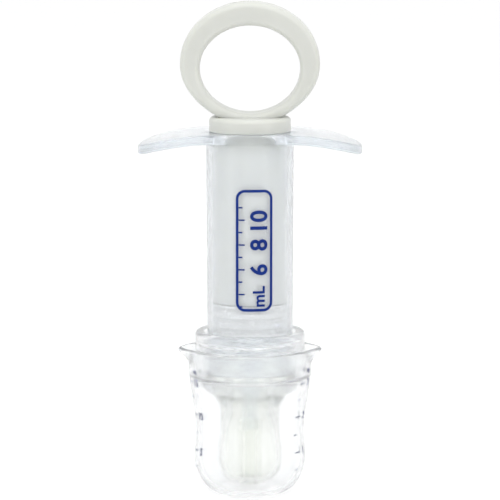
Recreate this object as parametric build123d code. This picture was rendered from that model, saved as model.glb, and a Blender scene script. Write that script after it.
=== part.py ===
from build123d import *
import math
import os

# A ring-handled oral dispenser that stands nose down in its measuring cup.
# Millimetres. +Z runs up the barrel, +X along the finger flange, and the origin is the
# middle of the cup's base. Heights that name no piece are measured from that base.

# fits
running_gap = 0.05        # radial, sealing ribs in the bore
loose_gap = 0.10          # pieces that touch but have to come apart
thread_gap = 0.20         # crest to root, on each side
guide_gap = 0.30          # radial, plunger tube in the bore
lip_overlap = 0.60        # thickness of the collar's foot round the nipple

# barrel
bore_radius = 9.9
barrel_wall = 1.3
barrel_draft = 0.25       # radius gained from the collar up to the flange
chamber_length = 54.5     # from the barrel's floor to its mouth
barrel_floor = 1.6
skirt_height = 7.2        # below the floor
mouth_chamfer = 0.3

# finger flange
wing_length = 17.8        # beyond the barrel, on each side
flange_overhang = 1.05    # beyond the barrel, front and back
flange_thickness = 2.4
flange_corner = 11.5
level_margin = 0.1        # level part of the flange beyond the bore
flange_bend = 46.0        # radius of the wings' upper face

# nozzle
nozzle_radius = 2.1
nozzle_bore_radius = 0.9
nozzle_length = 21.7      # below the floor
nozzle_root_radius = 4.0
nozzle_root_length = 12.0
nozzle_tip_chamfer = 0.4

# thread between the collar and the barrel's skirt
thread_pitch = 2.4
thread_turns = 2.0
thread_depth = 0.85
thread_root_width = 1.0
thread_crest_width = 0.55
thread_embed = 0.25       # how far a ridge is sunk into its wall
thread_start = 2.6        # first ridge's middle, above the skirt's end

# collar
collar_wall = 2.15        # outside its thread's root
collar_height = 15.9
collar_cone_height = 4.6
collar_cone_run = 3.4     # how far the cone draws in towards the nipple
collar_lip_height = 3.5
collar_shoulder_round = 1.7
collar_edge_round = 0.3

# measuring cup
seat_height = 27.4        # underside of the collar in its seat
cup_height = 38.8
cup_wall = 1.35
cup_floor = 1.2
cup_base_radius = 7.5
cup_bulge_out = 0.5       # beyond the waist
cup_bulge_height = 10.4
cup_waist_in = 0.2        # inside the collar's radius
cup_waist_height = 17.0
cup_mouth_room = 0.55     # round the collar
seat_step = 0.5           # the seat's foot beyond the waist's inner wall
spout_out = 3.2           # from the mouth to the corner that the tip rounds off
spout_depth = 4.4
spout_tip_round = 1.8

# nipple
nipple_flange_room = 0.25 # round the flange, inside the collar
nipple_flange_height = 1.6
nipple_neck_radius = 7.6
nipple_neck_drop = 9.0    # below the collar
nipple_cone_drop = 4.1    # below the collar, where the cone runs into the neck
nipple_cone_spare = 0.25  # the cone's foot beyond the neck
nipple_bulb_radius = 8.2
nipple_bulb_rise = 10.0   # above the tip
nipple_wall = 1.45
nipple_tip_gap = 0.6      # above the cup's floor
nipple_tip_flat = 1.5
nipple_tip_round = 6.7
nipple_throat_room = 0.8  # round the nozzle's root
nipple_throat_drop = 4.8  # below the collar
nipple_channel_radius = 1.4
nipple_tube_wall = 0.85
nozzle_grip = 2.7         # length of the nozzle inside its socket
nozzle_end_gap = 0.4      # clear length under the nozzle's end

# piston seal
seal_height = 9.5
seal_ribs = 3
seal_groove_depth = 0.65
seal_plug_height = 5.0
seal_bead = 0.35
seal_bead_height = 1.2    # below the plug's end
seal_nose_round = 0.5

# plunger
plunger_wall = 1.5
plunger_crown = 1.6       # top wall of the hollow tube
disc_overlap = 0.8        # beyond the bore, where the disc rests on the barrel
disc_height = 3.8
disc_round = 1.1

# finger ring
finger_width = 26.2
finger_height = 22.8
ring_side = 5.1           # thickness beside the opening
ring_crown = 6.1          # thickness above it
ring_foot = 3.3           # thickness below it
ring_depth = 9.5
ring_sink = 2.2           # overlap of the ring with the disc
ring_round = 1.5

# radii that follow
barrel_radius = bore_radius + barrel_wall
flange_neck_radius = barrel_radius + barrel_draft
flange_level = bore_radius + level_margin
flange_reach = flange_neck_radius + wing_length
thread_crest_radius = barrel_radius + thread_depth
collar_bore_radius = thread_crest_radius + thread_gap
collar_radius = collar_bore_radius + collar_wall
collar_foot_radius = collar_radius - collar_cone_run
lip_radius = collar_foot_radius - lip_overlap
cup_mouth_radius = collar_radius + cup_mouth_room + cup_wall
cup_waist_radius = collar_radius - cup_waist_in
cup_bulge_radius = cup_waist_radius + cup_bulge_out
nipple_body_radius = lip_radius - loose_gap
nipple_flange_radius = collar_bore_radius - nipple_flange_room
nipple_throat_radius = nozzle_root_radius + nipple_throat_room
seal_radius = bore_radius - running_gap
plunger_radius = bore_radius - guide_gap
plug_radius = plunger_radius - plunger_wall - loose_gap
disc_radius = bore_radius + disc_overlap

# heights that follow
lip_top = seat_height + collar_lip_height
nipple_top = lip_top + nipple_flange_height
nipple_tip = cup_floor + nipple_tip_gap
skirt_end = nipple_top + loose_gap
floor_under = skirt_end + skirt_height
chamber_floor = floor_under + barrel_floor
mouth_height = chamber_floor + chamber_length
collar_top = seat_height + collar_height
nozzle_end = floor_under - nozzle_length
disc_seat = mouth_height + loose_gap / 2
disc_top = disc_seat + disc_height
seal_nose = chamber_floor + loose_gap
seal_top = seal_nose + seal_height
plug_top = seal_top + seal_plug_height
bead_height = plug_top - seal_bead_height

UPWARDS = (Align.CENTER, Align.CENTER, Align.MIN)


def turned(*edges):
    # a solid of revolution about Z from an outline of radius and height
    return revolve(Plane.XZ * make_face(edges), Axis.Z)


def turned_polygon(points):
    return turned(Polyline(*points, close=True))


def rod(radius, bottom, top):
    return Pos(0, 0, bottom) * Cylinder(radius, top - bottom, align=UPWARDS)


def ring_edges(shape, radius, height):
    # the round edges of a turned shape at this radius and height
    found = []
    for edge in shape.edges().filter_by(GeomType.CIRCLE):
        if abs(edge.radius - radius) < 0.01 and abs(edge.arc_center.Z - height) < 0.01:
            found.append(edge)
    return ShapeList(found)


def ridge(root_radius, root_side, first_height):
    # a helical ridge, standing outwards from its wall when root_side is 1, inwards when -1
    helix = Helix(
        pitch=thread_pitch,
        height=thread_pitch * thread_turns,
        radius=root_radius,
        center=(0, 0, first_height),
    )
    base = -thread_embed * root_side
    crest = thread_depth * root_side
    section = Polyline(
        (base, -thread_root_width / 2),
        (crest, -thread_crest_width / 2),
        (crest, thread_crest_width / 2),
        (base, thread_root_width / 2),
        close=True,
    )
    start = Plane(origin=(root_radius, 0, first_height), x_dir=(1, 0, 0), z_dir=(0, -1, 0))
    return sweep(start * make_face(section), path=helix, is_frenet=True)


def kite(tip, circle_radius, tip_round):
    # a spout's plan: tangents from a circle to a rounded tip on +X
    angle = math.acos(circle_radius / tip)
    touch_x = circle_radius * math.cos(angle)
    touch_y = circle_radius * math.sin(angle)
    outline = Polyline((0, 0), (touch_x, -touch_y), (tip, 0), (touch_x, touch_y), close=True)
    face = make_face(outline)
    tip_vertex = face.vertices().sort_by(Axis.X)[-1]
    return fillet(tip_vertex, tip_round)


def spout(inset, lift):
    # one spout, drawn in by inset and carried on by lift; it leans out of the cup's wall
    radius = cup_mouth_radius - inset
    top = kite(radius + spout_out, radius, spout_tip_round - inset)
    slant = Vector(-spout_out, 0, -spout_depth)
    rise = lift / spout_depth
    start = Pos(spout_out * rise, 0, cup_height + lift) * top
    return extrude(start, amount=slant.length * (1 + rise), dir=slant.normalized())


def both_ways(shape):
    return shape + Rot(0, 0, 180) * shape


def make_cup():
    inner_bulge = cup_bulge_radius - cup_wall
    inner_waist = cup_waist_radius - cup_wall
    inner_mouth = cup_mouth_radius - cup_wall
    inner_base = cup_base_radius - cup_wall / 2
    seat_radius = collar_radius + loose_gap
    seat_foot = inner_waist + seat_step
    seat_top = seat_height + collar_cone_height - loose_gap
    seat_bottom = seat_top - (seat_radius - seat_foot) * collar_cone_height / collar_cone_run
    outer = turned(
        Line((0, 0), (cup_base_radius, 0)),
        Spline(
            (cup_base_radius, 0),
            (cup_bulge_radius, cup_bulge_height),
            tangents=((1, 0), (0, 1)),
        ),
        Spline(
            (cup_bulge_radius, cup_bulge_height),
            (cup_waist_radius, cup_waist_height),
            (cup_mouth_radius, cup_height),
            tangents=((0, 1), (0.02, 1)),
        ),
        Line((cup_mouth_radius, cup_height), (0, cup_height)),
        Line((0, cup_height), (0, 0)),
    )
    top = cup_height + cup_wall
    inner = turned(
        Line((0, cup_floor), (inner_base, cup_floor)),
        Spline(
            (inner_base, cup_floor),
            (inner_bulge, cup_bulge_height),
            tangents=((1, 0), (0, 1)),
        ),
        Spline(
            (inner_bulge, cup_bulge_height),
            (inner_waist, cup_waist_height),
            (seat_foot, seat_bottom),
            tangents=((0, 1), (0.02, 1)),
        ),
        Line((seat_foot, seat_bottom), (seat_radius, seat_top)),
        Line((seat_radius, seat_top), (inner_mouth, cup_height)),
        Line((inner_mouth, cup_height), (inner_mouth, top)),
        Line((inner_mouth, top), (0, top)),
        Line((0, top), (0, cup_floor)),
    )
    return outer + both_ways(spout(0, 0)) - inner - both_ways(spout(cup_wall, cup_wall))


def make_collar():
    collar = turned_polygon([
        (lip_radius, seat_height),
        (collar_foot_radius, seat_height),
        (collar_radius, seat_height + collar_cone_height),
        (collar_radius, collar_top),
        (collar_bore_radius, collar_top),
        (collar_bore_radius, lip_top),
        (lip_radius, lip_top),
    ])
    collar = fillet(ring_edges(collar, collar_radius, collar_top), collar_shoulder_round)
    collar = fillet(ring_edges(collar, collar_foot_radius, seat_height), collar_edge_round)
    first = skirt_end + thread_start + thread_pitch / 2
    return collar + ridge(collar_bore_radius, -1, first)


def make_flange():
    bend_angle = math.degrees(math.asin((flange_reach - flange_level) / flange_bend))
    centre = (flange_level, mouth_height - flange_bend)
    under_bend = flange_bend - flange_thickness
    upper = CenterArc(centre, flange_bend, 90 - bend_angle, bend_angle)
    lower = CenterArc(centre, under_bend, 90 - bend_angle, bend_angle)
    under = mouth_height - flange_thickness
    wing = make_face([
        upper,
        lower,
        Line(upper @ 0, lower @ 0),
        Line(upper @ 1, (0, mouth_height)),
        Line((0, mouth_height), (0, under)),
        Line((0, under), lower @ 1),
    ])
    depth = 2 * (flange_neck_radius + flange_overhang)
    band = extrude(Plane.XZ * wing, depth / 2, both=True)
    plan = RectangleRounded(2 * flange_reach, depth, flange_corner)
    return both_ways(band) & extrude(Pos(0, 0, mouth_height) * plan, flange_bend, both=True)


def make_barrel():
    body = turned_polygon([
        (0, floor_under),
        (bore_radius, floor_under),
        (bore_radius, skirt_end),
        (barrel_radius, skirt_end),
        (barrel_radius, collar_top),
        (flange_neck_radius, mouth_height),
        (0, mouth_height),
    ])
    nozzle = turned_polygon([
        (0, nozzle_end),
        (nozzle_radius - nozzle_tip_chamfer, nozzle_end),
        (nozzle_radius, nozzle_end + 2 * nozzle_tip_chamfer),
        (nozzle_radius, floor_under - nozzle_root_length),
        (nozzle_root_radius, floor_under),
        (0, floor_under),
    ])
    chamber = rod(bore_radius, chamber_floor, mouth_height)
    passage = rod(nozzle_bore_radius, nozzle_end, chamber_floor)
    barrel = body + make_flange() + nozzle - chamber - passage
    barrel = chamfer(ring_edges(barrel, bore_radius, mouth_height), mouth_chamfer)
    return barrel + ridge(barrel_radius, 1, skirt_end + thread_start)


def make_nipple():
    neck_height = seat_height - nipple_neck_drop
    bulb_height = nipple_tip + nipple_bulb_rise
    side_height = nipple_tip + nipple_tip_round
    shoulder = (nipple_body_radius, seat_height)
    cone_foot = (nipple_neck_radius + nipple_cone_spare, seat_height - nipple_cone_drop)
    bulb = (nipple_bulb_radius, bulb_height)
    nose_side = (nipple_tip_flat + nipple_tip_round, side_height)
    nose_end = (nipple_tip_flat, nipple_tip)
    shell = turned(
        Line((0, nipple_tip), nose_end),
        RadiusArc(nose_end, nose_side, -nipple_tip_round),
        Line(nose_side, bulb),
        Spline(
            bulb,
            (nipple_neck_radius, neck_height),
            cone_foot,
            tangents=((0, 1), (0.3, 1)),
        ),
        Line(cone_foot, shoulder),
        Line(shoulder, (nipple_body_radius, lip_top)),
        Line((nipple_body_radius, lip_top), (nipple_flange_radius, lip_top)),
        Line((nipple_flange_radius, lip_top), (nipple_flange_radius, nipple_top)),
        Line((nipple_flange_radius, nipple_top), (0, nipple_top)),
        Line((0, nipple_top), (0, nipple_tip)),
    )
    hollow_floor = nipple_tip + nipple_wall
    hollow_end = (nipple_tip_flat, hollow_floor)
    hollow_side = (nose_side[0] - nipple_wall, side_height)
    hollow_bulb = (nipple_bulb_radius - nipple_wall, bulb_height)
    throat = (nipple_throat_radius, seat_height - nipple_throat_drop)
    hollow = turned(
        Line((0, hollow_floor), hollow_end),
        RadiusArc(hollow_end, hollow_side, nipple_wall - nipple_tip_round),
        Line(hollow_side, hollow_bulb),
        Spline(
            hollow_bulb,
            (nipple_neck_radius - nipple_wall, neck_height),
            throat,
            tangents=((0, 1), (-0.3, 1)),
        ),
        Line(throat, (nipple_throat_radius, nipple_top)),
        Line((nipple_throat_radius, nipple_top), (0, nipple_top)),
        Line((0, nipple_top), (0, hollow_floor)),
    )
    socket_radius = nozzle_radius + loose_gap
    tube_top = nozzle_end + nozzle_grip
    tube = rod(socket_radius + nipple_tube_wall, nipple_tip + nipple_wall / 2, tube_top)
    channel = rod(nipple_channel_radius, nipple_tip, tube_top)
    socket = rod(socket_radius, nozzle_end - nozzle_end_gap, tube_top)
    return shell - hollow + tube - channel - socket


def snap_bead(swell):
    # the plug's bead, or with a swell the groove that it snaps into
    return Pos(0, 0, bead_height) * Torus(plug_radius - seal_bead, 2 * seal_bead + swell)


def make_seal():
    seal = turned_polygon([
        (0, seal_nose),
        (seal_radius, seal_nose),
        (seal_radius, seal_top),
        (plug_radius, seal_top),
        (plug_radius, plug_top),
        (0, plug_top),
    ])
    seal = fillet(ring_edges(seal, seal_radius, seal_nose), seal_nose_round) + snap_bead(0)
    pitch = seal_height / (seal_ribs + 0.5)
    for rib in range(1, seal_ribs + 1):
        seal -= Pos(0, 0, seal_nose + rib * pitch) * Torus(seal_radius, seal_groove_depth)
    return seal


def make_ring():
    # an oval band with an oval opening, thicker at its crown than at its foot
    width = finger_width + 2 * ring_side
    height = ring_foot + finger_height + ring_crown
    foot = disc_top - ring_sink
    outer = Pos(0, foot + height / 2) * Ellipse(width / 2, height / 2)
    opening = Pos(0, foot + ring_foot + finger_height / 2) * Ellipse(finger_width / 2, finger_height / 2)
    ring = extrude(Plane.XZ * (outer - opening), ring_depth / 2, both=True)
    return fillet(ring.faces().filter_by(Axis.Y).edges(), ring_round)


def make_plunger():
    tube_end = seal_top + loose_gap
    body = turned_polygon([
        (0, tube_end),
        (plunger_radius, tube_end),
        (plunger_radius, disc_seat),
        (disc_radius, disc_seat),
        (disc_radius, disc_top),
        (0, disc_top),
    ])
    body = fillet(ring_edges(body, disc_radius, disc_top), disc_round)
    hollow = rod(plunger_radius - plunger_wall, tube_end, disc_seat - plunger_crown)
    return body + make_ring() - hollow - snap_bead(2 * loose_gap)


def main():
    os.makedirs("parts", exist_ok=True)
    pieces = {
        "measuring_cup": make_cup(),
        "nipple": make_nipple(),
        "collar": make_collar(),
        "barrel": make_barrel(),
        "piston_seal": make_seal(),
        "plunger": make_plunger(),
    }
    for name, piece in pieces.items():
        export_step(piece, f"parts/{name}.step")


main()
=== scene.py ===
import math

import bmesh
import bpy
import numpy as np
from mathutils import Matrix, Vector


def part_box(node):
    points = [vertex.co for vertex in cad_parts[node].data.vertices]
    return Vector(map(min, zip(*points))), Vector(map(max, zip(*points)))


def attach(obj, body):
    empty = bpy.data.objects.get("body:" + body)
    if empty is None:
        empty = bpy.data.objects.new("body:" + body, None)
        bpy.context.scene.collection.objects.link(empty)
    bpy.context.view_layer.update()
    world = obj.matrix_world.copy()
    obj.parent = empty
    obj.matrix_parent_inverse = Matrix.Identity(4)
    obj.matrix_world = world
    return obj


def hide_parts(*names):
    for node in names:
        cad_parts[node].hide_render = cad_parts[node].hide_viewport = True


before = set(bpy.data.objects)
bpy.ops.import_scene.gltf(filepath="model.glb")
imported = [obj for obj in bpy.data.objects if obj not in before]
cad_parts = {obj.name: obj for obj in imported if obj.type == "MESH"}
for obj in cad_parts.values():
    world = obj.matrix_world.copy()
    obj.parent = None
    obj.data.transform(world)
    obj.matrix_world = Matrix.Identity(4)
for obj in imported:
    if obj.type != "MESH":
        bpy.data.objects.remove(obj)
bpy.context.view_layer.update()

mm = 0.001                 # profiles are worked out in millimetres, meshes are in metres
scene = bpy.context.scene
print("frame loaded")


def spanOf(node):
    # the lowest and highest corner of a CAD node's box, in millimetres
    low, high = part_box(node)
    return np.array(low) / mm, np.array(high) / mm


cupHigh = spanOf("measuring_cup")[1]
nippleLow, nippleHigh = spanOf("nipple")
collarLow, collarHigh = spanOf("collar")
barrelLow, barrelHigh = spanOf("barrel")
sealLow, sealHigh = spanOf("piston_seal")
plungerLow, plungerHigh = spanOf("plunger")

gaps = {"skirt": 0.1, "disc": 0.05}      # left above the nipple's flange, and above the barrel's mouth
skirtEnd = nippleHigh[2] + gaps["skirt"]
discSeat = barrelHigh[2] + gaps["disc"]


def roundedPath(corners, closed=False, step=1.0, arcSteps=6):
    # Straight runs between corners given as (radius, height, round). Each corner is cut by the
    # arc that touches both runs, and runs are divided so that no stretch is longer than step.
    pts = np.array([c[:2] for c in corners], float)
    rounds = [c[2] for c in corners]
    count = len(pts)
    path = []
    for i in range(count):
        p = pts[i]
        if rounds[i] <= 0 or (not closed and i in (0, count - 1)):
            path.append(p[None, :])
            continue
        a = pts[i - 1] - p
        b = pts[(i + 1) % count] - p
        u = a / np.linalg.norm(a)
        v = b / np.linalg.norm(b)
        half = math.acos(np.clip(u @ v, -1, 1)) / 2
        r = min(rounds[i], 0.49 * min(np.linalg.norm(a), np.linalg.norm(b)) * math.tan(half))
        centre = p + (u + v) / np.linalg.norm(u + v) * r / math.sin(half)
        first = p + u * r / math.tan(half) - centre
        last = p + v * r / math.tan(half) - centre
        turn = math.pi - 2 * half
        s = np.linspace(0, 1, arcSteps + 1)[:, None]
        path.append(centre + (np.sin((1 - s) * turn) * first + np.sin(s * turn) * last) / math.sin(turn))
    path = np.vstack(path)
    return divided(path, step, closed)


def divided(path, step, closed=False):
    # the same line with every stretch cut into equal pieces no longer than step
    ends = np.vstack([path, path[:1]]) if closed else path
    runs = []
    for a, b in zip(ends[:-1], ends[1:]):
        pieces = max(1, math.ceil(np.linalg.norm(b - a) / step))
        runs.append(a + (b - a) * np.arange(pieces)[:, None] / pieces)
    line = np.vstack(runs)
    return line if closed else np.vstack([line, path[-1:]])


def curveThrough(points, steps):
    # a smooth line through the points: cubic pieces whose slopes are those of the neighbours' chord
    p = np.array(points, float)
    slope = np.gradient(p, axis=0)
    t = np.linspace(0, len(p) - 1, steps)
    k = np.minimum(t.astype(int), len(p) - 2)
    s = (t - k)[:, None]
    return ((2 * s**3 - 3 * s**2 + 1) * p[k] + (s**3 - 2 * s**2 + s) * slope[k]
            + (3 * s**2 - 2 * s**3) * p[k + 1] + (s**3 - s**2) * slope[k + 1])


def gridMesh(name, grid, closeRows, closeColumns):
    # A sheet of quads over a grid of points, (rows, columns, 3) in millimetres. A closed side
    # joins its last line to its first; an open column end on the axis becomes a single pole.
    rows, cols = grid.shape[:2]
    ids = np.arange(rows * cols).reshape(rows, cols)
    poles = []
    if not closeColumns:
        for end in (0, -1):
            if np.abs(grid[:, end, :2]).max() < 1e-6:
                ids[:, end] = ids[0, end]
                poles.append(end)
    r1 = np.roll(ids, -1, 0) if closeRows else ids[1:]
    r0 = ids if closeRows else ids[:-1]
    if closeColumns:
        quads = np.stack([r0, np.roll(r0, -1, 1), np.roll(r1, -1, 1), r1], -1).reshape(-1, 4)
    else:
        quads = np.stack([r0[:, :-1], r0[:, 1:], r1[:, 1:], r1[:, :-1]], -1).reshape(-1, 4)
    faces = [tuple(dict.fromkeys(q)) for q in quads.tolist()]
    mesh = bpy.data.meshes.new(name)
    mesh.from_pydata((grid.reshape(-1, 3) * mm).tolist(), [], faces)
    bm = bmesh.new()
    bm.from_mesh(mesh)
    bmesh.ops.delete(bm, geom=[v for v in bm.verts if not v.link_faces], context="VERTS")
    if bm.calc_volume(signed=True) < 0:
        bmesh.ops.reverse_faces(bm, faces=bm.faces[:])
    bm.to_mesh(mesh)
    bm.free()
    mesh.shade_smooth()
    piece = bpy.data.objects.new(name, mesh)
    scene.collection.objects.link(piece)
    return piece


def around(steps):
    # equal angles once round the axis, as a column
    return (np.arange(steps) * 2 * math.pi / steps)[:, None]


def turnedGrid(r, z, angle):
    # points at radius r and height z about the upright axis, one row for each angle
    r, z, angle = np.broadcast_arrays(r, z, angle)
    return np.stack([r * np.cos(angle), r * np.sin(angle), z], -1)


def turnedPiece(name, profile, closed, steps=160):
    # a profile of (radius, height) turned once round the axis
    angle = around(steps)
    return gridMesh(name, turnedGrid(profile[:, 0], profile[:, 1], angle), True, closed)


def ridgeHeight(angle, z, start, thread):
    # How far a helical ridge stands off its wall: a flat-topped wedge about the helix
    # z = start + pitch * turns, faded out over its first and last tenth of a turn.
    turn = angle / (2 * math.pi)
    whole = np.round((z - start) / thread["pitch"] - turn)
    along = whole + turn
    away = np.abs(z - start - thread["pitch"] * along)
    flank = (thread["rootWidth"] - thread["crestWidth"]) / 2
    height = np.clip((thread["rootWidth"] / 2 - away) / flank, 0, 1) * thread["depth"]
    fade = np.clip(along / 0.1, 0, 1) * np.clip((thread["turns"] - along) / 0.1, 0, 1)
    return height * fade


thread = {"pitch": 2.4, "turns": 2.0, "depth": 0.85, "rootWidth": 1.0, "crestWidth": 0.55, "rise": 2.6}

cup = {
    "wall": 1.35, "floor": 1.2, "baseRadius": 7.5, "bulge": (14.7, 10.4), "waist": (14.2, 17.0),
    "mouthRadius": cupHigh[1], "spoutOut": 4.0, "spoutDepth": 3.4, "spoutFlare": 1.6, "tipRound": 0.11,
    "seatRadius": 14.5, "seatTop": 31.9, "seatFoot": 13.8, "seatBottom": 30.95,
    "rimShare": 0.55, "seatFlare": 0.04, "seatRun": 2.4,
}


def spoutRadius(r, z, angle):
    # Widens a round section to two pouring spouts: straight tangents run from the circle to a tip
    # on each side, r / cos(t - a), where t is the tangent's angle and a the angle from the tip.
    full = cupHigh[2] - cup["wall"] * cup["rimShare"]      # the spout is at its widest from here up
    up = np.clip((z - full) / cup["spoutDepth"] + 1, 0, 1) ** cup["spoutFlare"]
    reach = r + cup["spoutOut"] * up
    touch = np.arccos(np.clip(r / reach, -1, 1))
    side = np.abs((angle + math.pi / 2) % math.pi - math.pi / 2)
    side = np.sqrt(side**2 + cup["tipRound"]**2) - cup["tipRound"] * (1 - up)
    return np.where(side < touch, r / np.cos(np.clip(touch - side, 0, 1.4)), r)


def makeCup():
    # One wall turned round: the bowl outside and inside is a quarter ellipse, base + (bulge - base) * sin
    # out and bulge height * (1 - cos) up, and the rim a half circle. The spouts widen it afterwards.
    top, wall = cupHigh[2], cup["wall"]
    bulgeR, bulgeZ = cup["bulge"]
    waistR, waistZ = cup["waist"]
    mouth = cup["mouthRadius"]
    bowl = np.linspace(0, math.pi / 2, 22)[1:, None]
    base = cup["baseRadius"]
    outerBowl = np.hstack([base + (bulgeR - base) * np.sin(bowl), bulgeZ * (1 - np.cos(bowl))])
    innerBase = base - wall / 2
    innerBowl = np.hstack([
        innerBase + (bulgeR - wall - innerBase) * np.sin(bowl),
        cup["floor"] + (bulgeZ - cup["floor"]) * (1 - np.cos(bowl)),
    ])
    outerWall = curveThrough([
        (bulgeR, bulgeZ), (waistR, waistZ), (waistR + 0.9, waistZ + 7.5), (mouth - 0.25, top - 7.5),
        (mouth, top - wall / 2),
    ], 44)
    lip = np.linspace(0, math.pi, 9)[1:-1, None]
    rim = np.hstack([mouth - wall / 2 + wall / 2 * np.cos(lip), top - wall / 2 + wall / 2 * np.sin(lip)])
    underSeat = (cup["seatFoot"] - cup["seatFlare"], cup["seatBottom"] - cup["seatRun"])
    innerTop = roundedPath([
        (mouth - wall, top - wall / 2, 0), (cup["seatRadius"], cup["seatTop"], 1.2),
        (cup["seatFoot"], cup["seatBottom"], 1.75), (*underSeat, 0),
    ], step=0.5)
    innerWall = curveThrough([
        underSeat, (waistR - wall + 0.1, waistZ + 6.0),
        (waistR - wall, waistZ), (bulgeR - wall, bulgeZ),
    ], 26)
    profile = np.vstack([
        divided(np.array([(0, 0), (base, 0)]), 1.5), outerBowl, outerWall[1:], rim, innerTop,
        innerWall[1:], innerBowl[::-1][1:],
        divided(np.array([(innerBase, cup["floor"]), (0, cup["floor"])]), 1.5),
    ])
    angle = around(256)
    r, z = profile[:, 0], profile[:, 1]
    flare = spoutRadius(np.maximum(r, 1e-9), z, angle)
    grid = turnedGrid(np.where(r > innerBase + 1, flare, r), z, angle)
    outerLine = np.vstack([outerBowl[-4:], outerWall[1:]])
    innerLine = np.vstack([innerTop, innerWall[1:], innerBowl[::-1][1:]])
    return gridMesh("cupShell", grid, True, False), outerLine, innerLine


barrel = {
    "bore": 9.9, "wall": 1.3, "draft": 0.25, "floor": 1.6, "skirt": 7.2, "nozzleRadius": 2.1,
    "passage": 0.9, "rootRadius": 4.0, "rootLength": 12.0, "mouthChamfer": 0.35,
    "flangeThick": 2.4, "flangeCorner": 11.5, "bend": 56.0, "level": 10.0,
    "edgeRound": 0.6, "neckFillet": 1.3,
}


def flangeReach(angle):
    # distance from the axis to the edge of a rounded rectangle, in the direction of each angle
    halfX, halfY = barrelHigh[0], barrelHigh[1]
    c = barrel["flangeCorner"]
    cx, sy = np.abs(np.cos(angle)) + 1e-9, np.abs(np.sin(angle)) + 1e-9
    toEnd, toSide = halfX / cx, halfY / sy
    away = math.hypot(halfX - c, halfY - c)
    lean = np.arctan2(sy, cx) - math.atan2(halfY - c, halfX - c)
    toCorner = away * np.cos(lean) + np.sqrt(np.maximum(c**2 - (away * np.sin(lean))**2, 0))
    reach = np.where(toEnd * sy <= halfY - c, toEnd, toCorner)
    return np.where(toSide * cx <= halfX - c, toSide, reach)


def bentHeight(x, bend):
    # the flange is level near the barrel and then follows a circle down to its tips
    beyond = np.clip(np.abs(x) - barrel["level"], 0, None)
    return barrelHigh[2] - barrel["bend"] + np.sqrt(bend**2 - beyond**2)


def makeBarrel():
    # One closed section that goes round the whole moulding, with a flange that changes with the direction:
    # its height is the bent sheet's, and its neck and edge are quarter circles, r + round * (1 - cos).
    top, end = barrelHigh[2], barrelLow[2]
    outer = barrel["bore"] + barrel["wall"]
    neck = outer + barrel["draft"]
    under = skirtEnd + barrel["skirt"]
    floor = under + barrel["floor"]
    angle = around(256)
    # from the nozzle's passage round the outside to the flange's neck
    lower = roundedPath([
        (barrel["passage"], end, 0.1), (barrel["nozzleRadius"], end, 0.6),
        (barrel["nozzleRadius"], under - barrel["rootLength"], 6), (barrel["rootRadius"], under, 0.8),
        (barrel["bore"], under, 0.7), (barrel["bore"], skirtEnd, 0.3), (outer, skirtEnd, 0.3),
        (outer, collarHigh[2], 3),
    ], step=0.22)
    wallUp = divided(np.array([(outer, collarHigh[2] + 0.4), (neck, top - barrel["flangeThick"] - 2)]), 2.0)
    lowR = np.tile(np.r_[lower[:, 0], wallUp[:, 0]], (len(angle), 1))
    lowZ = np.tile(np.r_[lower[:, 1], wallUp[:, 1]], (len(angle), 1))
    onSkirt = (np.abs(lowR - outer) < 0.01) & (lowZ > skirtEnd + 0.5)
    lowR = lowR + np.where(onSkirt, ridgeHeight(angle, lowZ, skirtEnd + thread["rise"], thread), 0)
    # the flange, whose outline depends on the direction
    reach = flangeReach(angle)
    edge = np.minimum(barrel["edgeRound"], 0.45 * (reach - neck))
    fillet = np.minimum(barrel["neckFillet"], 0.5 * (reach - neck))
    q = np.linspace(0, math.pi / 2, 7)
    u = np.linspace(0, 1, 16)[1:-1]
    thinBend = barrel["bend"] - barrel["flangeThick"]
    r = np.hstack([
        neck + fillet * (1 - np.cos(q)),
        neck + fillet + (reach - edge - neck - fillet) * u,
        reach - edge + edge * np.sin(q),
    ])
    z = bentHeight(r * np.cos(angle), thinBend) + np.hstack([
        -fillet * (1 - np.sin(q)), 0 * angle * u, edge * (1 - np.cos(q)),
    ])
    mouth = barrel["bore"] + barrel["mouthChamfer"]
    rTop = np.hstack([
        reach - edge + edge * np.cos(q), reach - edge + (mouth - reach + edge) * u, mouth + 0 * angle,
    ])
    zTop = bentHeight(rTop * np.cos(angle), barrel["bend"]) + np.hstack([
        -edge * (1 - np.sin(q)), 0 * angle * u, 0 * angle,
    ])
    # and back down the bore to the passage
    inside = roundedPath([
        (barrel["bore"], top - barrel["mouthChamfer"], 0), (barrel["bore"], floor, 0.4),
        (barrel["passage"], floor, 0.3), (barrel["passage"], end + 0.5, 0),
    ], step=2.0)
    ones = np.ones((len(angle), 1))
    rAll = np.hstack([lowR, r, rTop, ones * inside[:, 0]])
    zAll = np.hstack([lowZ, z, zTop, ones * inside[:, 1]])
    return gridMesh("barrelBody", turnedGrid(rAll, zAll, angle), True, True)


collar = {
    "bore": 12.25, "radius": 14.4, "cone": 4.6, "coneRun": 3.4, "lip": 3.5, "lipWall": 0.6,
    "shoulder": 1.7,
}


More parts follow.
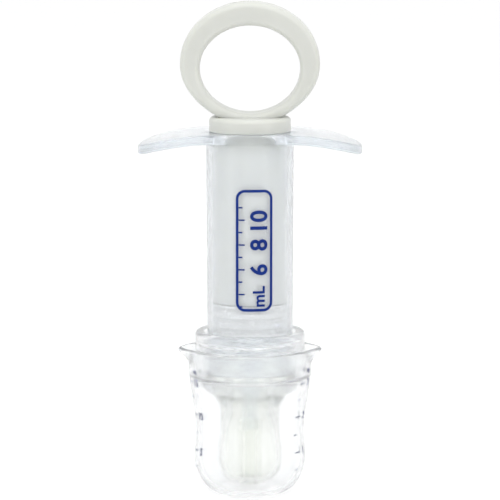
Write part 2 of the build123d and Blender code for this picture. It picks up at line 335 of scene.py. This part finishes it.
def makeCollar():
    # a turned ring with a cone below, whose bore loses the height of a helical ridge, r - ridge
    low, top = collarLow[2], collarHigh[2]
    foot = collar["radius"] - collar["coneRun"]
    profile = roundedPath([
        (foot - collar["lipWall"], low, 0.2), (foot, low, 0.3),
        (collar["radius"], low + collar["cone"], 0.8),
        (collar["radius"], top, collar["shoulder"]), (collar["bore"], top, 0.25),
        (collar["bore"], low + collar["lip"], 0.3), (foot - collar["lipWall"], low + collar["lip"], 0.3),
    ], closed=True, step=0.22, arcSteps=8)
    angle = around(200)
    r, z = profile[:, 0], profile[:, 1]
    start = skirtEnd + thread["rise"] + thread["pitch"] / 2
    onBore = (np.abs(r - collar["bore"]) < 0.01) & (z < top - 0.6)
    r = r - np.where(onBore, ridgeHeight(angle, z + 0 * angle, start, thread), 0)
    return gridMesh("collarRing", turnedGrid(r, z, angle), True, True)


nipple = {
    "bodyRadius": 10.3, "flangeRadius": 12.0, "flange": 1.6, "neck": (7.6, 18.4), "bulb": (8.2, 11.8),
    "noseRound": 6.7, "noseFlat": 1.5, "coneDrop": 4.1, "wall": 1.45, "throat": 4.8, "throatTop": 22.6,
    "channel": 1.4, "socket": 2.2, "socketFoot": 17.7, "tubeRadius": 3.05, "tubeTop": 20.8,
}


def makeNipple():
    # A turned bottle with a nose outside and inside of quarter circles, flat + round * sin out and
    # round * (1 - cos) up, and a feeding tube that stands on the nose's inner side.
    tip, top = nippleLow[2], nippleHigh[2]
    wall = nipple["wall"]
    seat = collarLow[2]
    neckR, neckZ = nipple["neck"]
    coneFoot = seat - nipple["coneDrop"]
    bulbR, bulbZ = nipple["bulb"]
    q = np.linspace(0, math.pi / 2, 16)[:, None]
    nose = nipple["noseRound"]
    outerNose = np.hstack([nipple["noseFlat"] + nose * np.sin(q), tip + nose * (1 - np.cos(q))])
    inNose = nose - wall
    innerNose = np.hstack([nipple["noseFlat"] + inNose * np.sin(q), tip + wall + inNose * (1 - np.cos(q))])
    outerSide = curveThrough([
        (bulbR, bulbZ), (neckR + 0.14, neckZ - 3), (neckR, neckZ), (neckR + 0.04, neckZ + 2.6),
        (neckR + 0.3, coneFoot), (neckR + 1.2, coneFoot + 1.7), (nipple["bodyRadius"], seat),
    ], 60)
    innerSide = curveThrough([
        (bulbR - wall, bulbZ), (neckR - wall, neckZ - 1.5), (neckR - wall - 0.55, neckZ + 1.6),
        (nipple["throat"], nipple["throatTop"]),
    ], 20)
    flangeLow = top - nipple["flange"]
    outerTop = roundedPath([
        (nipple["bodyRadius"], seat + 0.5, 0), (nipple["bodyRadius"], flangeLow, 0.3),
        (nipple["flangeRadius"], flangeLow, 0.4), (nipple["flangeRadius"], top, 0.4),
        (nipple["throat"], top, 0.5), (nipple["throat"], nipple["throatTop"] + 0.8, 0),
    ], step=0.8)
    tube = roundedPath([
        (nipple["tubeRadius"], tip + wall + 0.02, 0), (nipple["tubeRadius"], nipple["tubeTop"], 0.3),
        (nipple["socket"], nipple["tubeTop"], 0.25), (nipple["socket"], nipple["socketFoot"], 0.2),
        (nipple["channel"], nipple["socketFoot"], 0.2), (nipple["channel"], tip + 0.3, 0),
        (nipple["channel"] + 0.1, tip + 0.05, 0),
    ], step=0.8)
    profile = np.vstack([
        outerNose, outerSide, outerTop, innerSide[::-1], innerNose[::-1][:-8], tube,
    ])
    return turnedPiece("nippleShell", profile, True)


seal = {
    "ribs": 3, "grooveDepth": 0.65, "plug": 5.0, "plugRadius": 8.0, "radius": 9.85, "beadRise": 1.2,
    "bead": 0.35,
}


def makeSeal():
    # A stack of rounded ribs: each groove takes a half circle out of the wall, so that at a distance t
    # from the groove's middle it is the root of depth^2 - t^2 deep.
    nose, top = sealLow[2], sealHigh[2] - seal["plug"]
    pitch = (top - nose) / (seal["ribs"] + 0.5)
    side = np.linspace(nose + 0.6, top - 0.15, 110)
    toGroove = np.abs((side - nose + pitch / 2) % pitch - pitch / 2)
    toGroove = np.where(side < nose + pitch / 2, pitch, toGroove)
    depth = np.sqrt(np.clip(seal["grooveDepth"]**2 - toGroove**2, 0, None))
    wall = np.stack([seal["radius"] - depth, side], -1)
    below = roundedPath([
        (0, nose, 0), (seal["radius"], nose, 0.5), (seal["radius"], nose + 0.6, 0),
    ], step=1.0)
    plugTop, plugRadius = sealHigh[2], seal["plugRadius"]
    above = roundedPath([
        (seal["radius"], top, 0.1), (plugRadius, top, 0.1), (plugRadius, plugTop - 1.7, 0.1),
        (plugRadius + seal["bead"], plugTop - seal["beadRise"], 0.3),
        (plugRadius, plugTop - 0.7, 0.1), (plugRadius, plugTop, 0.3), (0, plugTop, 0),
    ], step=0.8)
    return turnedPiece("sealHead", np.vstack([below[:-1], wall, above[1:]]), False)


plunger = {
    "tubeRadius": 9.6, "wall": 1.5, "crown": 1.6, "discRadius": 10.7, "disc": 3.8, "discRound": 1.1,
    "fingerWidth": 26.2, "fingerHeight": 22.8, "ringDepth": 9.5, "ringFoot": 3.3, "ringSink": 2.2,
    "ringTaper": 0.18, "taperPower": 2.5, "ringRound": 1.5, "seamRise": 0.05, "seamHalf": 0.16,
}


def makePlungerRod():
    # the hollow rod and its disc, turned, with a groove inside for the seal's bead
    low = plungerLow[2]
    seat = discSeat
    top = seat + plunger["disc"]
    inner = plunger["tubeRadius"] - plunger["wall"]
    bead = sealHigh[2] - seal["beadRise"]
    profile = roundedPath([
        (0, seat - plunger["crown"], 0), (inner, seat - plunger["crown"], 1.0), (inner, bead + 1.0, 0.2),
        (inner + 0.45, bead, 0.4), (inner, bead - 1.0, 0.2), (inner, low, 0.12),
        (plunger["tubeRadius"], low, 0.12), (plunger["tubeRadius"], seat, 0.2),
        (plunger["discRadius"], seat, 0.3), (plunger["discRadius"], top, plunger["discRound"]), (0, top, 0),
    ], step=1.5, arcSteps=7)
    return turnedPiece("plungerBody", profile, False, 192)


def makeRing():
    # A closed band between two ovals. The outer one is drawn in towards the disc, its width times
    # 1 - taper * (-sin way)^power below the middle. The section is a rectangle with rounded corners,
    # from middle - half to middle + half across, and a fine parting ridge runs round at mid depth.
    top = plungerHigh[2]
    foot = discSeat + plunger["disc"] - plunger["ringSink"]
    high = top - foot
    way = around(192)
    drawnIn = 1 - plunger["ringTaper"] * np.clip(-np.sin(way), 0, 1) ** plunger["taperPower"]
    outer = np.stack([
        plungerHigh[0] * np.cos(way) * drawnIn, foot + high / 2 * (1 + np.sin(way)),
    ], -1)
    fingerMiddle = foot + plunger["ringFoot"] + plunger["fingerHeight"] / 2
    inner = np.stack([
        plunger["fingerWidth"] / 2 * np.cos(way),
        fingerMiddle + plunger["fingerHeight"] / 2 * np.sin(way),
    ], -1)
    half = np.linalg.norm(outer - inner, axis=-1) / 2
    cornerRound = np.minimum(plunger["ringRound"], 0.9 * half)
    q = np.linspace(0, math.pi / 2, 8)
    deepHalf = plunger["ringDepth"] / 2

    def corner(signAcross, signDeep, turn):
        across = signAcross * (half - cornerRound) + cornerRound * np.cos(q + turn)
        return across, signDeep * (deepHalf - cornerRound) + cornerRound * np.sin(q + turn)

    def seam(signAcross, deep):
        rise = np.array([0, plunger["seamRise"], 0])
        return signAcross * (half + rise), deep * plunger["seamHalf"] + 0 * half

    quarter = math.pi / 2
    section = [
        corner(1, 1, 0), corner(-1, 1, quarter), seam(-1, np.array([1, 0, -1])),
        corner(-1, -1, 2 * quarter), corner(1, -1, 3 * quarter), seam(1, np.array([-1, 0, 1])),
    ]
    across = np.hstack([a for a, d in section]) / half
    deep = np.hstack([d for a, d in section])
    place = (outer + inner) / 2 + (outer - inner) / 2 * across[..., None]
    return gridMesh("plungerRing", np.stack([place[..., 0], deep, place[..., 1]], -1), True, True)


def joined(base, tool):
    # the exact union of two pieces as one mesh, and the second piece is removed
    union = base.modifiers.new("join", "BOOLEAN")
    union.operation = "UNION"
    union.solver = "EXACT"
    union.object = tool
    bpy.context.view_layer.update()
    solid = bpy.data.meshes.new_from_object(base.evaluated_get(bpy.context.evaluated_depsgraph_get()))
    base.modifiers.clear()
    base.data = solid
    bpy.data.objects.remove(tool)
    return base


def finishEdges(piece, degrees):
    # smooth shading, but an edge that turns more than the angle stays sharp
    piece.data.shade_smooth()
    piece.data.set_sharp_from_angle(angle=math.radians(degrees))


sharpFrom = 50      # degrees
cupShell, cupOuter, cupInner = makeCup()
barrelBody = makeBarrel()
collarRing = makeCollar()
nippleShell = makeNipple()
sealHead = makeSeal()
plungerBody = joined(makePlungerRod(), makeRing())
for piece in (cupShell, barrelBody, collarRing, nippleShell, sealHead, plungerBody):
    finishEdges(piece, sharpFrom)
print("mouldings made")


ink = {"film": 0.05, "sunk": 0.01, "cut": 0.45, "weld": 0.0005}
letterBold = 0.024      # how far a letter's outline is moved out, as a share of its size
barrelPrint = {
    "turn": 5.9, "low": 49.9, "high": 81.8, "width": 9.8, "corner": 2.4, "stroke": 0.72,
    "tick": 1.6, "halfTick": 1.0, "tickStroke": 0.4, "tickStart": 0.4, "first": 3, "last": 11,
    "firstNumber": 6, "digits": 6.2, "unit": 4.4, "textAside": 1.15, "unitRise": 4.0,
}
cupPrint = {
    "leftTurn": -70.0, "rightTurn": 64.0, "steps": 3, "dose": 5.0, "digits": 2.7, "digitsAside": 2.2,
    "unit": 1.8, "unitAside": 2.0, "unitRise": 3.0, "tick": 2.4, "tickStroke": 0.26,
}
millilitre = 1000      # cubic millimetres


def flatStrip(outline, hole=None):
    # a flat outline filled as a fan, or as a band between it and a hole with the same count of points
    n = len(outline)
    step = np.arange(n)
    if hole is None:
        verts = np.vstack([outline.mean(0), outline])
        faces = np.stack([0 * step, 1 + step, 1 + (step + 1) % n], -1)
    else:
        verts = np.vstack([outline, hole])
        faces = np.stack([step, (step + 1) % n, n + (step + 1) % n, n + step], -1)
    return verts, faces.tolist()


def bar(u0, u1, v, stroke):
    # a level line from u0 to u1, half its stroke above v and half below
    low, high = v - stroke / 2, v + stroke / 2
    return flatStrip(np.array([(u0, low), (u1, low), (u1, high), (u0, high)]))


def softBox(width, height, corner, v):
    # a rectangle with quarter-circle corners about (0, v)
    q = np.linspace(0, math.pi / 2, 9)
    turn = np.concatenate([q + k * math.pi / 2 for k in range(4)])
    signX = np.repeat([1, -1, -1, 1], 9)
    signY = np.repeat([1, 1, -1, -1], 9)
    return np.stack([
        signX * (width / 2 - corner) + corner * np.cos(turn),
        v + signY * (height / 2 - corner) + corner * np.sin(turn),
    ], -1)


def lettering(text, size, u, v, upright=True):
    # the outline of a word in the built-in font, centred at (u, v), lying on its side if not upright
    curve = bpy.data.curves.new("lettering", "FONT")
    curve.body = text
    curve.size = size
    curve.offset = letterBold * size
    curve.resolution_u = 5
    word = bpy.data.objects.new("lettering", curve)
    scene.collection.objects.link(word)
    flat = bpy.data.meshes.new_from_object(word.evaluated_get(bpy.context.evaluated_depsgraph_get()))
    verts = np.empty(len(flat.vertices) * 3)
    flat.vertices.foreach_get("co", verts)
    verts = verts.reshape(-1, 3)[:, :2]
    faces = [tuple(f.vertices) for f in flat.polygons]
    bpy.data.objects.remove(word)
    bpy.data.meshes.remove(flat)
    verts = verts - (verts.min(0) + verts.max(0)) / 2
    if not upright:
        verts = np.stack([-verts[:, 1], verts[:, 0]], -1)
    return verts + (u, v), faces


def printOn(name, marks, surface, turn):
    # Ink wrapped on an upright round wall: across the print u becomes an angle, u / radius, past the
    # print's middle, up it v is the height, and the film stands from a little inside the wall.
    bm = bmesh.new()
    for verts, faces in marks:
        points = [bm.verts.new((x, y, 0)) for x, y in verts.tolist()]
        for face in faces:
            bm.faces.new([points[i] for i in face])
    bmesh.ops.remove_doubles(bm, verts=bm.verts, dist=ink["weld"])
    wide = max(abs(v.co.x) for v in bm.verts)
    for u in np.arange(-wide, wide, ink["cut"]).tolist():
        everything = bm.verts[:] + bm.edges[:] + bm.faces[:]
        bmesh.ops.bisect_plane(bm, geom=everything, plane_co=(u, 0, 0), plane_no=(1, 0, 0))
    raised = bmesh.ops.extrude_face_region(bm, geom=bm.faces[:])["geom"]
    lifted = [v for v in raised if isinstance(v, bmesh.types.BMVert)]
    bmesh.ops.translate(bm, verts=lifted, vec=(0, 0, 1))
    bmesh.ops.recalc_face_normals(bm, faces=bm.faces)
    mesh = bpy.data.meshes.new(name)
    bm.to_mesh(mesh)
    bm.free()
    place = np.empty(len(mesh.vertices) * 3)
    mesh.vertices.foreach_get("co", place)
    u, v, lift = place.reshape(-1, 3).T
    wall = surface(v)
    angle = math.radians(turn) - math.pi / 2 + u / wall
    r = wall - ink["sunk"] + (ink["film"] + ink["sunk"]) * lift
    mesh.vertices.foreach_set("co", (turnedGrid(r, v, angle) * mm).ravel())
    mesh.update()
    piece = bpy.data.objects.new(name, mesh)
    scene.collection.objects.link(piece)
    return piece


def barrelWall(z):
    # the outside radius, which grows evenly by the draft from the collar's top to the flange
    rise = (z - collarHigh[2]) / (barrelHigh[2] - collarHigh[2])
    return barrel["bore"] + barrel["wall"] + barrel["draft"] * rise


def makeBarrelPrint():
    # a frame with a line for each millilitre, which takes 1000 / (pi * bore^2) of the bore's height
    p = barrelPrint
    middle = (p["low"] + p["high"]) / 2
    tall = p["high"] - p["low"]
    outer = softBox(p["width"], tall, p["corner"], middle)
    inner = softBox(p["width"] - 2 * p["stroke"], tall - 2 * p["stroke"], p["corner"] - p["stroke"], middle)
    marks = [flatStrip(outer, inner)]
    floor = skirtEnd + barrel["skirt"] + barrel["floor"]
    perDose = millilitre / (math.pi * barrel["bore"]**2)
    left = p["stroke"] / 2 - p["width"] / 2 + p["tickStart"]
    for dose in range(p["first"], p["last"] + 1):
        v = floor + dose * perDose
        even = dose % 2 == 0
        marks.append(bar(left, left + (p["tick"] if even else p["halfTick"]), v, p["tickStroke"]))
        if even and dose >= p["firstNumber"]:
            marks.append(lettering(str(dose), p["digits"], p["textAside"], v, upright=False))
    marks.append(lettering("mL", p["unit"], p["textAside"], p["low"] + p["unitRise"], upright=False))
    return printOn("barrelScale", marks, barrelWall, p["turn"])


def makeCupPrint(name, turn, unit, numbers):
    # Lines at the heights where the cup holds each dose. The volume below a height is the sum of
    # slices, pi * r^2 * their thickness, and the heights are read off between the slices.
    p = cupPrint
    r, z = cupInner[::-1].T
    slices = math.pi * ((r[1:] + r[:-1]) / 2)**2 * np.diff(z) / millilitre
    filled = np.concatenate([[0], np.cumsum(slices)])
    marks = []
    for k in range(1, p["steps"] + 1):
        v = float(np.interp(k * p["dose"], filled, z))
        between = float(np.interp((k - 0.5) * p["dose"], filled, z))
        marks.append(bar(-p["tick"], 0, v, p["tickStroke"]))
        marks.append(bar(-p["tick"], -p["tick"] / 2, between, p["tickStroke"]))
        marks.append(lettering(numbers[k - 1], p["digits"], p["digitsAside"], v))
    fullMark = float(np.interp(p["steps"] * p["dose"], filled, z))
    marks.append(lettering(unit, p["unit"], p["unitAside"], fullMark + p["unitRise"]))
    return printOn(name, marks, lambda v: np.interp(v, cupOuter[:, 1], cupOuter[:, 0]), turn)


barrelScale = makeBarrelPrint()
doseScale = makeCupPrint("doseScale", cupPrint["leftTurn"], "mL", ("5", "10", "15"))
spoonScale = makeCupPrint("spoonScale", cupPrint["rightTurn"], "tsp", ("1", "2", "3"))
print("scales printed")


noiseSpan = (0.3, 0.7)      # most of the noise's values lie between these
mixSockets = {"share": 0, "first": 6, "second": 7, "result": 2}      # those of a colour mix


def newMaterial(name):
    # a material, its nodes and links, and its shader
    material = bpy.data.materials.new(name)
    material.use_nodes = True
    nodes = material.node_tree.nodes
    return material, nodes, material.node_tree.links, nodes["Principled BSDF"]


def speckle(nodes, links, scale, detail=3.0):
    # noise fixed to the object, about 0 to 1
    place = nodes.new("ShaderNodeTexCoord")
    noise = nodes.new("ShaderNodeTexNoise")
    noise.inputs["Scale"].default_value = scale
    noise.inputs["Detail"].default_value = detail
    links.new(place.outputs["Object"], noise.inputs["Vector"])
    return noise.outputs["Fac"]


def ranged(nodes, links, source, low, high):
    # noise spread evenly from low to high
    spread = nodes.new("ShaderNodeMapRange")
    spread.inputs["From Min"].default_value = noiseSpan[0]
    spread.inputs["From Max"].default_value = noiseSpan[1]
    spread.inputs["To Min"].default_value = low
    spread.inputs["To Max"].default_value = high
    links.new(source, spread.inputs["Value"])
    return spread.outputs["Result"]


def tinted(nodes, links, source, low, high):
    # noise turned into colours between two
    ramp = nodes.new("ShaderNodeValToRGB")
    ramp.color_ramp.elements[0].position = noiseSpan[0]
    ramp.color_ramp.elements[0].color = (*low, 1)
    ramp.color_ramp.elements[1].position = noiseSpan[1]
    ramp.color_ramp.elements[1].color = (*high, 1)
    links.new(source, ramp.inputs["Fac"])
    return ramp.outputs["Color"]


def paler(nodes, links, cloud, colour, paintedPale):
    # painted light: a paler second tint below a height, blended over the stretch from low to high, which
    # lights up the thinner wall of the rod inside the barrel
    place = nodes.new("ShaderNodeTexCoord")
    split = nodes.new("ShaderNodeSeparateXYZ")
    links.new(place.outputs["Object"], split.inputs["Vector"])
    rise = nodes.new("ShaderNodeMapRange")
    rise.inputs["From Min"].default_value = paintedPale["low"]
    rise.inputs["From Max"].default_value = paintedPale["high"]
    links.new(split.outputs["Z"], rise.inputs["Value"])
    blend = nodes.new("ShaderNodeMix")
    blend.data_type = "RGBA"
    links.new(rise.outputs["Result"], blend.inputs[mixSockets["share"]])
    # the painted-light tint, paler than the plastic's own colour
    paintedPaleColour = tinted(nodes, links, cloud, paintedPale["dark"], paintedPale["light"])
    links.new(paintedPaleColour, blend.inputs[mixSockets["first"]])
    links.new(colour, blend.inputs[mixSockets["second"]])
    return blend.outputs[mixSockets["result"]]


def bumped(nodes, links, shader, source, depth):
    # a bump as deep as the noise times depth, in metres
    bump = nodes.new("ShaderNodeBump")
    bump.inputs["Distance"].default_value = depth
    bump.inputs["Strength"].default_value = 1.0
    links.new(source, bump.inputs["Height"])
    links.new(bump.outputs["Normal"], shader.inputs["Normal"])


def makePlastic(name, look):
    # A clear or milky plastic, whose colour and roughness vary a little over it. Light inside a clear
    # one fades by e to the power of -density * (1 - tint) * the length of its way, in metres.
    material, nodes, links, shader = newMaterial(name)
    shader.inputs["Transmission Weight"].default_value = look["clear"]
    shader.inputs["IOR"].default_value = look["ior"]
    shader.inputs["Specular IOR Level"].default_value = look.get("gloss", 0.5)
    shader.inputs["Subsurface Weight"].default_value = look.get("milk", 0)
    shader.inputs["Subsurface Radius"].default_value = look.get("depth", (0.002, 0.002, 0.002))
    shader.inputs["Subsurface Scale"].default_value = 1.0
    cloud = speckle(nodes, links, look["cloudScale"])
    colour = tinted(nodes, links, cloud, look["dark"], look["light"])
    # painted light: where a look has it, the rod below the disc is painted paler
    if "paintedPale" in look:
        colour = paler(nodes, links, cloud, colour, look["paintedPale"])
    links.new(colour, shader.inputs["Base Color"])
    if "depthTint" in look:
        inside = nodes.new("ShaderNodeVolumeAbsorption")
        inside.inputs["Color"].default_value = (*look["depthTint"], 1)
        inside.inputs["Density"].default_value = look["depthDensity"]
        links.new(inside.outputs["Volume"], nodes["Material Output"].inputs["Volume"])
    fine = speckle(nodes, links, look["fineScale"], 4.0)
    links.new(ranged(nodes, links, fine, *look["rough"]), shader.inputs["Roughness"])
    bumped(nodes, links, shader, fine, look["bump"])
    return material


looks = {
    "barrelPolypropylene": {
        "clear": 0.92, "ior": 1.46, "dark": (0.93, 0.942, 0.952), "light": (0.95, 0.96, 0.968),
        "depthTint": (0.83, 0.868, 0.90), "depthDensity": 45.0,
        "cloudScale": 90, "fineScale": 700, "rough": (0.19, 0.25), "bump": 0.0000006,
    },
    "cupPolypropylene": {
        "clear": 0.96, "ior": 1.46, "dark": (0.974, 0.979, 0.982), "light": (0.983, 0.987, 0.99),
        "depthTint": (0.82, 0.85, 0.87), "depthDensity": 11.0,
        "cloudScale": 90, "fineScale": 700, "rough": (0.12, 0.17), "bump": 0.0000006,
    },
    "collarPolypropylene": {
        "clear": 0.95, "ior": 1.46, "dark": (0.966, 0.97, 0.975), "light": (0.98, 0.983, 0.986),
        "depthTint": (0.82, 0.84, 0.85), "depthDensity": 11.0,
        "cloudScale": 120, "fineScale": 900, "rough": (0.16, 0.22), "bump": 0.000001,
    },
    "milkyPolypropylene": {
        "clear": 0.0, "ior": 1.46, "dark": (0.552, 0.558, 0.522), "light": (0.575, 0.58, 0.545),
        "milk": 0.8,
        "depth": (0.0018, 0.0018, 0.0016), "cloudScale": 70, "fineScale": 1200, "rough": (0.28, 0.38),
        "bump": 0.0000015,
        # painted light: below the disc the rod's colour is paler, as if it were lit more
        "paintedPale": {
            "low": 0.0905, "high": 0.0945, "dark": (0.655, 0.662, 0.643), "light": (0.685, 0.692, 0.673),
        },
    },
    "nippleSilicone": {
        "clear": 0.96, "ior": 1.41, "dark": (0.965, 0.97, 0.95), "light": (0.98, 0.985, 0.965),
        "depthTint": (0.82, 0.83, 0.79), "depthDensity": 25.0,
        "cloudScale": 110, "fineScale": 900, "rough": (0.14, 0.2), "bump": 0.000001,
    },
    "sealSilicone": {
        "clear": 0.1, "ior": 1.41, "dark": (0.80, 0.80, 0.795), "light": (0.83, 0.83, 0.825), "milk": 0.6,
        "depth": (0.0007, 0.0007, 0.0007), "cloudScale": 110, "fineScale": 900, "rough": (0.2, 0.3),
        "bump": 0.0000015,
    },
    "navyInk": {
        "clear": 0.0, "ior": 1.5, "gloss": 0.15, "dark": (0.002, 0.018, 0.15),
        "light": (0.004, 0.026, 0.19),
        "cloudScale": 500, "fineScale": 2500, "rough": (0.35, 0.5), "bump": 0.000001,
    },
    "slateInk": {
        "clear": 0.0, "ior": 1.5, "gloss": 0.15, "dark": (0.03, 0.037, 0.095), "light": (0.05, 0.06, 0.13),
        "cloudScale": 500, "fineScale": 2500, "rough": (0.35, 0.5), "bump": 0.000001,
    },
}
plastics = {name: makePlastic(name, look) for name, look in looks.items()}

dressing = [
    (cupShell, "cup", "measuring_cup", "cup_clear", "cupPolypropylene"),
    (barrelBody, "barrel", "barrel", "barrel_clear", "barrelPolypropylene"),
    (collarRing, "collar", "collar", "collar_clear", "collarPolypropylene"),
    (nippleShell, "nipple", "nipple", "nipple_silicone", "nippleSilicone"),
    (sealHead, "seal", "piston_seal", "seal_silicone", "sealSilicone"),
    (plungerBody, "plunger", "plunger", "plunger_milky", "milkyPolypropylene"),
    (barrelScale, "barrel", None, "barrel_clear", "navyInk"),
    (doseScale, "cup", None, "cup_clear", "slateInk"),
    (spoonScale, "cup", None, "cup_clear", "slateInk"),
]
for piece, body, node, slotName, plastic in dressing:
    piece.data.materials.clear()
    piece.data.materials.append(plastics[plastic])
    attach(piece, body)
    if node:
        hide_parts(node)
print("materials given")


stageSet = {
    "floorHalf": 1.2, "halfWidth": 1.5, "wallAway": 2.0, "wallHigh": 1.6, "bendRadius": 0.5,
    "paperDark": 0.39, "paperLight": 0.42, "paperRough": 0.9, "glow": 0.55,
    "world": 1.02, "air": (0.98, 0.99, 1.0, 1),
}


def makeStage():
    # A floor that bends up into a back wall, as one sheet. The bend is a quarter circle,
    # away - bend + bend * sin back and bend * (1 - cos) up.
    away, bend = stageSet["wallAway"], stageSet["bendRadius"]
    q = np.linspace(0, math.pi / 2, 24)
    side = np.concatenate([[-stageSet["floorHalf"]], away - bend + bend * np.sin(q), [away]])
    high = np.concatenate([[0], bend * (1 - np.cos(q)), [stageSet["wallHigh"]]])
    across = np.linspace(-stageSet["halfWidth"], stageSet["halfWidth"], 5)[:, None]
    grid = np.stack([across + 0 * side, side + 0 * across, high + 0 * across], -1) / mm
    sweep = gridMesh("studioSweep", grid, False, False)
    material, nodes, links, shader = newMaterial("studioPaper")
    grain = speckle(nodes, links, 400)
    paper = tinted(nodes, links, grain, (stageSet["paperDark"],) * 3, (stageSet["paperLight"],) * 3)
    links.new(paper, shader.inputs["Base Color"])
    shader.inputs["Roughness"].default_value = stageSet["paperRough"]
    shader.inputs["Emission Color"].default_value = (1.0, 1.0, 1.0, 1)
    shader.inputs["Emission Strength"].default_value = stageSet["glow"]
    sweep.data.materials.append(material)


def addSoftbox(name, place, aim, width, height, power):
    # a rectangular lamp that faces a point, in metres and watts, and isn't seen by the camera
    light = bpy.data.lights.new(name, "AREA")
    light.shape = "RECTANGLE"
    light.size, light.size_y = width, height
    light.energy = power
    lamp = bpy.data.objects.new(name, light)
    lamp.location = place
    direction = np.array(aim) - np.array(place)
    lamp.rotation_euler = Vector(direction.tolist()).to_track_quat("-Z", "Y").to_euler()
    lamp.visible_camera = False
    scene.collection.objects.link(lamp)


makeStage()
middle = (0.0, 0.0, 0.065)
addSoftbox("topBox", (0.0, -0.15, 1.1), middle, 0.9, 0.9, 3.0)
addSoftbox("frontBox", (0.0, -1.0, 0.95), middle, 1.0, 0.7, 4.0)
addSoftbox("leftStrip", (-0.24, -0.19, 0.18), (0, 0, 0.18), 0.018, 0.36, 0.06)
addSoftbox("rightStrip", (0.21, -0.21, 0.18), (0, 0, 0.18), 0.018, 0.36, 0.06)

world = bpy.data.worlds.new("studioAir")
world.use_nodes = True
background = world.node_tree.nodes["Background"]
background.inputs["Color"].default_value = stageSet["air"]
background.inputs["Strength"].default_value = stageSet["world"]
scene.world = world

cameraSet = {"away": 0.816, "high": 0.181, "aim": 0.0645, "lens": 226.0, "sensor": 36.0, "clipEnd": 10.0}
cameraData = bpy.data.cameras.new("camera")
cameraData.lens = cameraSet["lens"]
cameraData.sensor_width = cameraSet["sensor"]
cameraData.clip_end = cameraSet["clipEnd"]
camera = bpy.data.objects.new("camera", cameraData)
camera.location = (0.0, -cameraSet["away"], cameraSet["high"])
drop = math.atan2(cameraSet["high"] - cameraSet["aim"], cameraSet["away"])
camera.rotation_euler = (math.pi / 2 - drop, 0.0, 0.0)
scene.collection.objects.link(camera)
scene.camera = camera

scene.cycles.use_denoising = True
scene.cycles.blur_glossy = 0.0        # blurred paths lose light between the nested clear walls
scene.view_settings.view_transform = "Standard"
bounces = 40                          # enough for light that runs along inside a clear wall
scene.cycles.max_bounces = bounces
scene.cycles.glossy_bounces = bounces
scene.cycles.transmission_bounces = bounces
scene.cycles.transparent_max_bounces = bounces
print("stage set")
